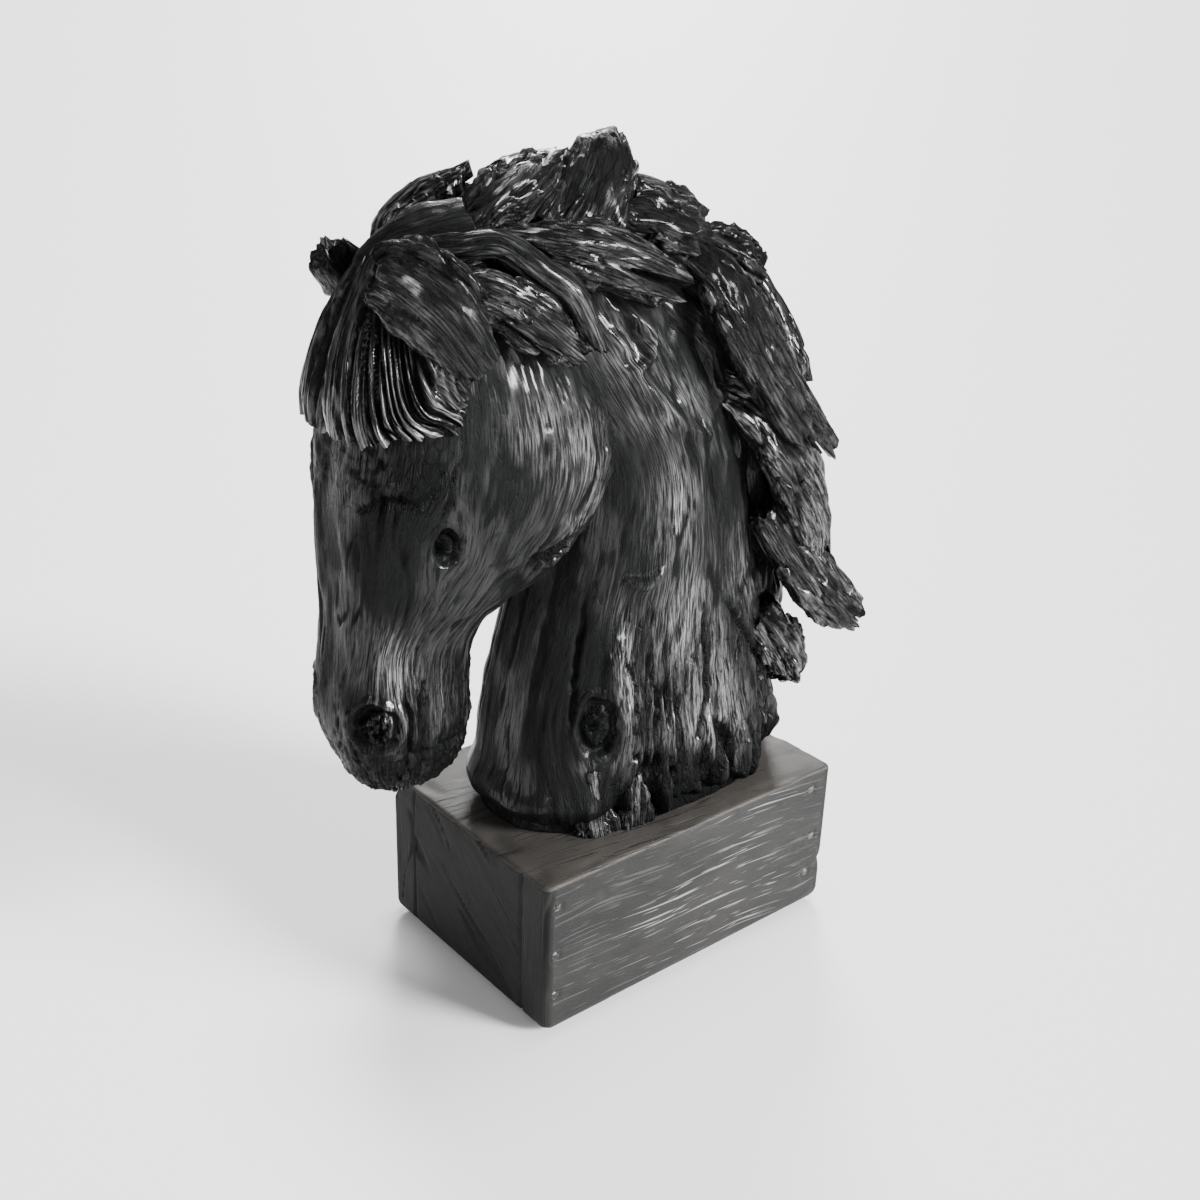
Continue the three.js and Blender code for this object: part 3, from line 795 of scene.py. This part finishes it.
class Shader:
    """A material and the one way that nodes are added to it."""

    def __init__(self, name):
        self.material = bpy.data.materials.new(name)
        self.material.use_nodes = True
        self.tree = self.material.node_tree
        self.surface = self.tree.nodes["Principled BSDF"]

    def node(self, kind, inputs=(), output=0, **settings):
        made = self.tree.nodes.new(kind)
        for key, value in settings.items():
            setattr(made, key, value)
        for key, value in inputs.items() if isinstance(inputs, dict) else enumerate(inputs):
            self.feed(made.inputs[key], value)
        return Socket(self, made.outputs[output])

    def feed(self, target, value):
        if isinstance(value, Socket):
            self.tree.links.new(value.output, target)
        elif target.type == "RGBA" and len(value) == 3:
            target.default_value = (*value, 1)
        else:
            target.default_value = value

    def attribute(self, name, output="Fac"):
        return self.node("ShaderNodeAttribute", output=output, attribute_name=name)

    def noise(self, place, detail=3.0, roughness=0.55, distortion=0.0):
        inputs = {"Vector": place, "Scale": 1.0, "Detail": detail, "Roughness": roughness}
        inputs["Distortion"] = distortion
        return self.node("ShaderNodeTexNoise", inputs, output="Fac")

    def voronoi(self, place):
        """Distance to the nearest crack between cells."""
        inputs = {"Vector": place, "Scale": 1.0, "Randomness": 1.0}
        return self.node("ShaderNodeTexVoronoi", inputs, output="Distance", feature="DISTANCE_TO_EDGE")

    def mix(self, factor, low, high):
        made = self.node("ShaderNodeMix", data_type="RGBA", output=2)
        inputs = made.output.node.inputs
        self.feed(inputs[0], factor)
        self.feed(inputs[6], low)
        self.feed(inputs[7], high)
        return made

    def finish(self, **inputs):
        for key, value in inputs.items():
            self.feed(self.surface.inputs[key.replace("_", " ")], value)
        return self.material

    def bump(self, height, strength, distance):
        inputs = {"Height": height, "Strength": strength, "Distance": distance}
        return self.node("ShaderNodeBump", inputs)


def figure_material():
    """Black resin, with silver grey painted on the ridges of its grain as sheen where the painted
    highlights lie, and less coat in the cracks and hollows as painted shade. It is made once.
    """
    made = bpy.data.materials.get("Figure resin")
    if made:
        return made
    settings = bpy.context.scene.horse_figure
    shader = Shader("Figure resin")
    grain = shader.attribute("grain", "Vector")
    relief = shader.attribute("relief")
    place = shader.node("ShaderNodeTexCoord", output="Object")
    wear = shader.attribute("wear")
    streak = shader.noise(grain.stretched((560, 560, 34)), 6.0, 0.65, 0.6)
    fine = shader.noise(grain.stretched((1150, 1150, 75)), 4.0, 0.65)
    patch = shader.noise(place.stretched((26, 26, 19)), 4.0, 0.6)
    pits = shader.noise(place.stretched((420, 420, 300)), 4.0, 0.7)
    grit = shader.noise(place.stretched((1300, 1300, 1000)), 2.0, 0.6)
    edge = shader.voronoi(grain.stretched((330, 330, 90)) + fine * 0.5)
    split = edge.between(0.09, 0.0) * wear
    crack = (streak * 0.4 + fine * 0.6).between(0.46, 0.4) * (wear * 0.6 + 0.4)
    painted_light_and_tone = shader.attribute("painted_light_and_tone")
    polish = shader.noise(place.stretched((38, 38, 15)), 2.0, 0.5).between(0.45, 0.58)
    # Painted sheen: silver grey on the grain's ridges where the painted highlights lie.
    silver = (relief * 0.14 + fine * 1.2 + streak * 0.4).between(0.78, 1.06)
    silver = silver * (polish * 0.5 + 0.6) * painted_light_and_tone
    height = streak * (wear * 0.5 + 0.2) + fine * (wear * 0.7 + 0.16)
    height = height + (pits * 0.5 + grit * 0.3) * wear - split * 0.4
    # Coat is painted too: more at the painted highlights, less where the relief is low, as painted
    # shade in cracks and hollows.
    gloss = relief.between(-1.2, 0.1) * (polish * 0.4 + 0.04 + painted_light_and_tone * 0.8) * fine.between(0.36, 0.56)
    share = silver * settings.painted_sheen_share
    return shader.finish(
        Base_Color=shader.mix(share, settings.resin_colour, settings.painted_sheen_colour),
        Roughness=0.2 + patch * 0.24 + crack * 0.3,
        Specular_IOR_Level=0.04,
        Coat_Weight=gloss * (1.0 - split * 0.7) * (1.0 - crack * 0.6),
        Coat_Roughness=0.16,
        Normal=shader.bump(height, 1.0, 0.0028),
    )


def block_material(settings):
    """Charcoal boards with cut grain lines: light ones on the long sides, dark ones elsewhere."""
    shader = Shader("Block resin")
    grain = shader.attribute("grain", "Vector")
    light_lines = shader.attribute("wear")
    painted_light_and_tone = shader.attribute("painted_light_and_tone")
    dash = shader.noise(grain.stretched((640, 640, 21)), 1.0, 0.4, 0.08).between(0.64, 0.7)
    short_dash = shader.noise(grain.stretched((860, 860, 42)), 1.0, 0.4, 0.08).between(0.65, 0.7)
    gate = shader.noise(grain.stretched((26, 26, 11)), 2.0, 0.5).between(0.46, 0.6)
    fine = shader.noise(grain.stretched((1500, 1500, 60)), 4.0, 0.6)
    patch = shader.noise(grain.stretched((30, 30, 14)), 3.0, 0.6)
    lines = dash.math("MAXIMUM", short_dash * 0.8) * (gate * 0.85 + 0.15)
    # Worn patches, more on the long sides than on the ends, so the ends are darker as painted shade;
    # the top boards are lighter as painted light.
    colour = shader.mix(patch.between(0.3, 0.7) * painted_light_and_tone, settings.board_colour, settings.worn_colour)
    colour = shader.mix(painted_light_and_tone.between(1.0, 2.0) * (patch * 0.8 + 0.3), colour, settings.painted_light_top_colour)
    colour = shader.mix(lines * light_lines * 0.9, colour, settings.line_colour)
    colour = shader.mix(lines * (1.0 - light_lines) * 0.8, colour, DARK_LINE)
    return shader.finish(
        Base_Color=colour,
        Roughness=0.42 + fine * 0.2 + (1.0 - painted_light_and_tone).math("MAXIMUM", 0.0) * 0.3,
        Specular_IOR_Level=0.22,
        Normal=shader.bump(fine * 0.3 - lines * 0.7, 0.6, 0.0012),
    )


def nail_material():
    """Dark grey, worn lighter in patches."""
    shader = Shader("Nail heads")
    place = shader.node("ShaderNodeTexCoord", output="Object")
    wear = shader.noise(place.stretched((900, 900, 900)), 3.0)
    return shader.finish(Base_Color=shader.mix(wear, NAIL_DARK, NAIL_WORN), Roughness=0.45)


def colour(name, description, default):
    """A colour that the panel shows."""
    return bpy.props.FloatVectorProperty(
        name=name, description=description, default=default, min=0, max=1, subtype="COLOR"
    )


class FigureSettings(bpy.types.PropertyGroup):
    """Grain and colours of the figure."""

    grain_depth: bpy.props.FloatProperty(
        name="Grain depth", description="Height of the weathered grain",
        default=0.0011, min=0, max=0.004, subtype="DISTANCE", unit="LENGTH",
    )
    # Share of silver grey painted on the grain's ridges as sheen.
    painted_sheen_share: bpy.props.FloatProperty(
        name="Silver", description="How much silver grey is painted on the ridges as sheen",
        default=0.45, min=0, max=1, subtype="FACTOR",
    )
    resin_colour: colour("Resin", "Colour of the resin", (0.004, 0.0042, 0.0042))
    # Colour of the painted sheen.
    painted_sheen_colour: colour("Painted sheen grey", "Colour on the ridges of the grain", (0.46, 0.46, 0.465))


class BlockSettings(bpy.types.PropertyGroup):
    """Nails, boards and colours of the block."""

    nail_radius: bpy.props.FloatProperty(
        name="Nail radius", description="Radius of a nail head",
        default=0.0028, min=0.0005, max=0.006, subtype="DISTANCE", unit="LENGTH",
    )
    board_thickness: bpy.props.FloatProperty(
        name="Board thickness", description="Thickness of the side boards",
        default=0.023, min=0.01, max=0.05, subtype="DISTANCE", unit="LENGTH",
    )
    board_colour: colour("Boards", "Colour of the boards", (0.005, 0.0049, 0.0047))
    worn_colour: colour(
        "Worn boards", "Colour of the boards where they are worn", (0.016, 0.0154, 0.0146)
    )
    # The top boards are lighter than the rest as painted light.
    painted_light_top_colour: colour("Top", "Colour of the top boards", (0.056, 0.0515, 0.046))
    line_colour: colour("Grain lines", "Colour of the cut grain lines", (0.18, 0.18, 0.177))


class StageSettings(bpy.types.PropertyGroup):
    """Floor and lights."""

    floor_colour: colour("Floor", "Colour of the floor", (0.93, 0.93, 0.93))
    light_power: bpy.props.FloatProperty(
        name="Light", description="Share of the studio lights' power",
        default=1.0, min=0, max=4, subtype="FACTOR",
    )


def mane_locks(depth):
    """The locks of the crest and both sides, the ridges at the neck's foot and the ears."""
    shells = []
    for i, path in enumerate(CREST_LOCKS):
        shells.append(lock_shell(path, 100 + 10 * i, depth, CREST_ROUGHNESS[i]))
    for i, path in enumerate(SIDE_LOCKS):
        high = path[0][2] > ROOTED_ABOVE
        shells.append(lock_shell(path, 200 + 10 * i, depth, SIDE_ROUGHNESS[i], root=high))
    for i, path in enumerate(far_locks()):
        shells.append(lock_shell(path, 300 + 10 * i, depth))
    for i, path in enumerate(ROOTS):
        shells.append(lock_shell(path, 400 + 10 * i, depth, 0.8, root=False))
    shells.append(lock_shell(NEAR_EAR, 500, depth, 0.5, root=False))
    shells.append(lock_shell(FAR_EAR, 510, depth, 0.8))
    return shells


def far_locks():
    """The broad side locks, on the right side."""
    return [mirrored(path) for path in SIDE_LOCKS if max(row[3] for row in path) > FAR_LOCK_WIDTH]


def mane_strands(depth):
    """The shards between the locks, and the splinters on the ragged ones."""
    strands = []
    for i, path in enumerate(SHARDS):
        strands.append(lock_shell(path, 540 + 10 * i, depth, 1.1, 70, 26, False))
    locks = zip(CREST_LOCKS + SIDE_LOCKS, CREST_ROUGHNESS + SIDE_ROUGHNESS)
    stranded = [path for path, rough in locks if rough > 0.5]
    for i, path in enumerate(stranded + far_locks()):
        for k, part in enumerate(splinters(path, 900 + i)):
            strands.append(lock_shell(part, 600 + 10 * i + k, depth, 1.1, 56, 20, False))
    return strands


def quarter(count):
    """Angles over a quarter turn."""
    return np.linspace(0, np.pi / 2, count)


def block_levels(height):
    """Heights of the block's rings, each with its inset and its share of the outline."""
    foot, top = BLOCK_FOOT, BLOCK_TOP
    levels = [(foot * (1 - np.cos(a)), foot * (1 - np.sin(a)), 1.0) for a in quarter(6)]
    levels += [(z, 0, 1.0) for z in np.linspace(foot, height - top, 44)[1:]]
    for a in quarter(4)[1:]:
        levels.append((height - top + top * np.sin(a), top * (1 - np.cos(a)), 1.0))
    return levels + [(height, top, share) for share in np.linspace(1, 0.03, 40)[1:]]


def block_outline(length, width):
    """Points round the block, with rounded corners."""
    corner = BLOCK_CORNER
    arc = [Vector((np.cos(a), np.sin(a))) for a in quarter(6)]
    outline = []
    for turn in range(4):
        rotate = Matrix.Rotation(turn * np.pi / 2, 2)
        half = (Vector((width, length)) if turn % 2 else Vector((length, width))) / 2
        centre = half - Vector((corner, corner))
        outline += [rotate @ (centre + corner * way) for way in arc]
        straight = 2 * (half.x - corner)
        count = int(straight / BLOCK_STEP)
        for k in range(1, count):
            outline.append(rotate @ Vector((half.x - corner - straight * k / count, half.y)))
    return np.array([tuple(point) for point in outline])


def block_shell(settings):
    """The block with its boards' grain, joints, chipped edges and the hollows round its nails."""
    length, width, height = BLOCK_HIGH - BLOCK_LOW
    outline = block_outline(length, width)
    rings = []
    for level, inset, share in block_levels(height):
        ring = outline * (1 - 2 * inset / width) * share
        rings.append(np.column_stack([ring, np.full(len(outline), level)]))
    rings = np.stack(rings)
    x, y, z = rings[..., 0], rings[..., 1], rings[..., 2]
    upper = z > height - BLOCK_TOP * 0.6
    end = (np.abs(x) > length / 2 - BLOCK_CORNER) & ~upper
    strip = end & (np.abs(y) > width / 2 - settings.board_thickness)
    lean = y * 0.8 + z * 0.6
    grain = stacked(z + 0.05 * x + 0.004 * noise(rings / 0.06, 85), y * 0.2, x)
    grain = np.where(end[..., None], stacked(z * 0.8 - y * 0.6, x * 0.2, lean) + 0.4, grain)
    grain = np.where(strip[..., None], stacked(y, x * 0.2, z) + 0.9, grain)
    grain = np.where(upper[..., None], stacked(y + 0.12 * x, z * 0.2, x) + 1.7, grain)
    relief = wood(grain, 80, pitch=0.006, run=0.08)
    rim = 1 - smooth(0.93, 0.86, np.maximum(np.abs(x) / length, np.abs(y) / width) * 2)
    chips = np.minimum(0, 0.9 * noise(rings / 0.022, 90) - 0.1)
    chips = chips * smooth(height - 0.012, height, z) * rim
    joint = bell(np.abs(y), width / 2 - settings.board_thickness, 0.0011) * end
    sink = np.clip(relief, -2, 0) * (0.00035 + 0.0006 * end) + chips * 0.0024
    sink = sink - 0.0016 * joint - 0.0002
    long_side = np.abs(y) > width / 2 - BLOCK_CORNER / 2
    for along, up in NAILS:
        away = np.hypot(x - along, z - up) / settings.nail_radius
        sink = sink - 0.0008 * bell(away, 1.15, 0.35) * long_side
    rings = rings + outward(rings) * sink[..., None]
    faces = [upper, end & ~strip, strip]
    light_lines = np.select(faces, [0.0, 0.0, 0.25], 1.0)
    # Tone of each face: the top painted lighter as painted light, the ends and end strips darker as
    # painted shade, the long sides between them.
    return Shell(rings, grain, relief, light_lines, np.select(faces, [3.0, 0.3, 0.5], 0.9))


def nail_tree(material):
    """Geometry Nodes: a domed head on each point."""
    tree = bpy.data.node_groups.new("Nail heads", "GeometryNodeTree")
    tree.interface.new_socket("Geometry", in_out="INPUT", socket_type="NodeSocketGeometry")
    radius = tree.interface.new_socket("Radius", in_out="INPUT", socket_type="NodeSocketFloat")
    radius.subtype = "DISTANCE"
    tree.interface.new_socket("Geometry", in_out="OUTPUT", socket_type="NodeSocketGeometry")
    nodes, link = tree.nodes, tree.links.new
    entry, leave = nodes.new("NodeGroupInput"), nodes.new("NodeGroupOutput")
    head = nodes.new("GeometryNodeMeshUVSphere")
    head.inputs["Segments"].default_value = 18
    head.inputs["Rings"].default_value = 10
    flatten = nodes.new("GeometryNodeTransform")
    flatten.inputs["Scale"].default_value = (1, NAIL_DOME, 1)
    place = nodes.new("GeometryNodeInstanceOnPoints")
    real = nodes.new("GeometryNodeRealizeInstances")
    soft = nodes.new("GeometryNodeSetShadeSmooth")
    paint = nodes.new("GeometryNodeSetMaterial")
    paint.inputs["Material"].default_value = material
    link(entry.outputs["Radius"], head.inputs["Radius"])
    link(head.outputs["Mesh"], flatten.inputs["Geometry"])
    link(entry.outputs["Geometry"], place.inputs["Points"])
    link(flatten.outputs["Geometry"], place.inputs["Instance"])
    for before, after in ((place, real), (real, soft), (soft, paint), (paint, leave)):
        link(before.outputs[0], after.inputs["Geometry"])
    return tree


def lay_floor(colour):
    """A pale floor, which is no part of the object."""
    mesh = bpy.data.meshes.new("floor")
    ways = ((-1, -1), (1, -1), (1, 1), (-1, 1))
    mesh.from_pydata([(x * FLOOR_REACH, y * FLOOR_REACH, 0) for x, y in ways], [], [(0, 1, 2, 3)])
    mesh.materials.append(Shader("Floor").finish(Base_Color=colour, Roughness=0.6))
    placed("floor", mesh)


def light_studio(power):
    """A white backdrop and the studio lights."""
    scene = bpy.context.scene
    scene.world = bpy.data.worlds.new("Studio")
    scene.world.use_nodes = True
    backdrop = scene.world.node_tree.nodes["Background"]
    backdrop.inputs["Color"].default_value = (1, 1, 1, 1)
    backdrop.inputs["Strength"].default_value = BACKDROP
    for name, spot, breadth, strength in STUDIO:
        light = bpy.data.lights.new(name, "SUN")
        light.angle = np.radians(breadth)
        light.energy = strength * power
        lamp = placed(name, light)
        lamp.location = spot
        lamp.rotation_euler = Vector(spot).to_track_quat("Z", "Y").to_euler()


def stand_camera():
    """The camera, turned, lifted and rolled as it was for the picture."""
    camera = placed("camera", bpy.data.cameras.new("camera"))
    camera.data.lens = CAMERA_LENS
    turn = Matrix.Rotation(np.radians(CAMERA_TURN), 3, "Z")
    lift = Matrix.Rotation(np.radians(90 - CAMERA_LIFT), 3, "X")
    roll = Matrix.Rotation(np.radians(CAMERA_ROLL), 3, "Z")
    camera.rotation_euler = (turn @ lift @ roll).to_euler()
    camera.location = CAMERA_SPOT
    bpy.context.scene.camera = camera


class HORSE_OT_head(bpy.types.Operator):
    """Build the head with its knots."""

    bl_idname = "horse.head"
    bl_label = "Build head"

    def execute(self, context):
        figure_piece("head", [head_shell(context.scene.horse_figure.grain_depth)])
        return {"FINISHED"}


class HORSE_OT_neck(bpy.types.Operator):
    """Build the neck with its bark and roots."""

    bl_idname = "horse.neck"
    bl_label = "Build neck"

    def execute(self, context):
        figure_piece("neck", [neck_shell(context.scene.horse_figure.grain_depth)])
        return {"FINISHED"}


class HORSE_OT_forelock(bpy.types.Operator):
    """Build the fluted forelock."""

    bl_idname = "horse.forelock"
    bl_label = "Build forelock"

    def execute(self, context):
        figure_piece("forelock", [forelock_shell(context.scene.horse_figure.grain_depth)])
        return {"FINISHED"}


class HORSE_OT_mane(bpy.types.Operator):
    """Build the mane's locks, the ears and the roots of the neck."""

    bl_idname = "horse.mane"
    bl_label = "Build mane"

    def execute(self, context):
        depth = context.scene.horse_figure.grain_depth
        figure_piece("mane", mane_locks(depth))
        figure_piece("mane_strands", mane_strands(depth))
        figure_piece("mane_body", [mane_shell(depth)])
        return {"FINISHED"}


class HORSE_OT_block(bpy.types.Operator):
    """Build the block of boards."""

    bl_idname = "horse.block"
    bl_label = "Build block"

    def execute(self, context):
        settings = context.scene.horse_block
        block_piece(mesh_object("block", [block_shell(settings)], block_material(settings)))
        return {"FINISHED"}


class HORSE_OT_nails(bpy.types.Operator):
    """Set the nail heads into the long faces."""

    bl_idname = "horse.nails"
    bl_label = "Set nails"

    def execute(self, context):
        radius = context.scene.horse_block.nail_radius
        mesh = bpy.data.meshes.new("nail_heads")
        depth = (BLOCK_HIGH - BLOCK_LOW).y / 2 - 0.0002 - NAIL_DOME * radius
        mesh.from_pydata([(x, side * depth, z) for side in (-1, 1) for x, z in NAILS], [], [])
        piece = placed("nail_heads", mesh)
        modifier = piece.modifiers.new("nails", "NODES")
        modifier.node_group = nail_tree(nail_material())
        for item in modifier.node_group.interface.items_tree:
            if item.item_type == "SOCKET" and item.in_out == "INPUT" and item.name == "Radius":
                modifier[item.identifier] = radius
        result = bpy.data.meshes.new_from_object(piece.evaluated_get(context.evaluated_depsgraph_get()))
        piece.modifiers.remove(modifier)
        piece.data = result
        block_piece(piece)
        return {"FINISHED"}


class HORSE_OT_stage(bpy.types.Operator):
    """Set up the floor, the studio lights and the camera."""

    bl_idname = "horse.stage"
    bl_label = "Set the stage"

    def execute(self, context):
        settings = context.scene.horse_stage
        lay_floor(settings.floor_colour[:])
        light_studio(settings.light_power)
        stand_camera()
        return {"FINISHED"}


class HORSE_PT_panel(bpy.types.Panel):
    """Lists the settings and the steps."""

    bl_idname = "HORSE_PT_panel"
    bl_label = "Horse Head"
    bl_space_type = "VIEW_3D"
    bl_region_type = "UI"
    bl_category = "Horse Head"

    def draw(self, context):
        scene = context.scene
        for group in (scene.horse_figure, scene.horse_block, scene.horse_stage):
            for name in group.__annotations__:
                self.layout.prop(group, name)
        for step in STEPS:
            self.layout.operator(step.bl_idname)


FIGURE_STEPS = (HORSE_OT_head, HORSE_OT_neck, HORSE_OT_forelock, HORSE_OT_mane)
STEPS = (*FIGURE_STEPS, HORSE_OT_block, HORSE_OT_nails, HORSE_OT_stage)
GROUPS = {
    "horse_figure": FigureSettings,
    "horse_block": BlockSettings,
    "horse_stage": StageSettings,
}


def register():
    for cls in (*GROUPS.values(), *STEPS, HORSE_PT_panel):
        bpy.utils.register_class(cls)
    for name, group in GROUPS.items():
        setattr(bpy.types.Scene, name, bpy.props.PointerProperty(type=group))


def unregister():
    for name in GROUPS:
        delattr(bpy.types.Scene, name)
    for cls in (HORSE_PT_panel, *STEPS, *GROUPS.values()):
        bpy.utils.unregister_class(cls)


def main():
    register()
    for step in STEPS:
        area, name = step.bl_idname.split(".")
        getattr(getattr(bpy.ops, area), name)()


if __name__ == "__main__":
    main()
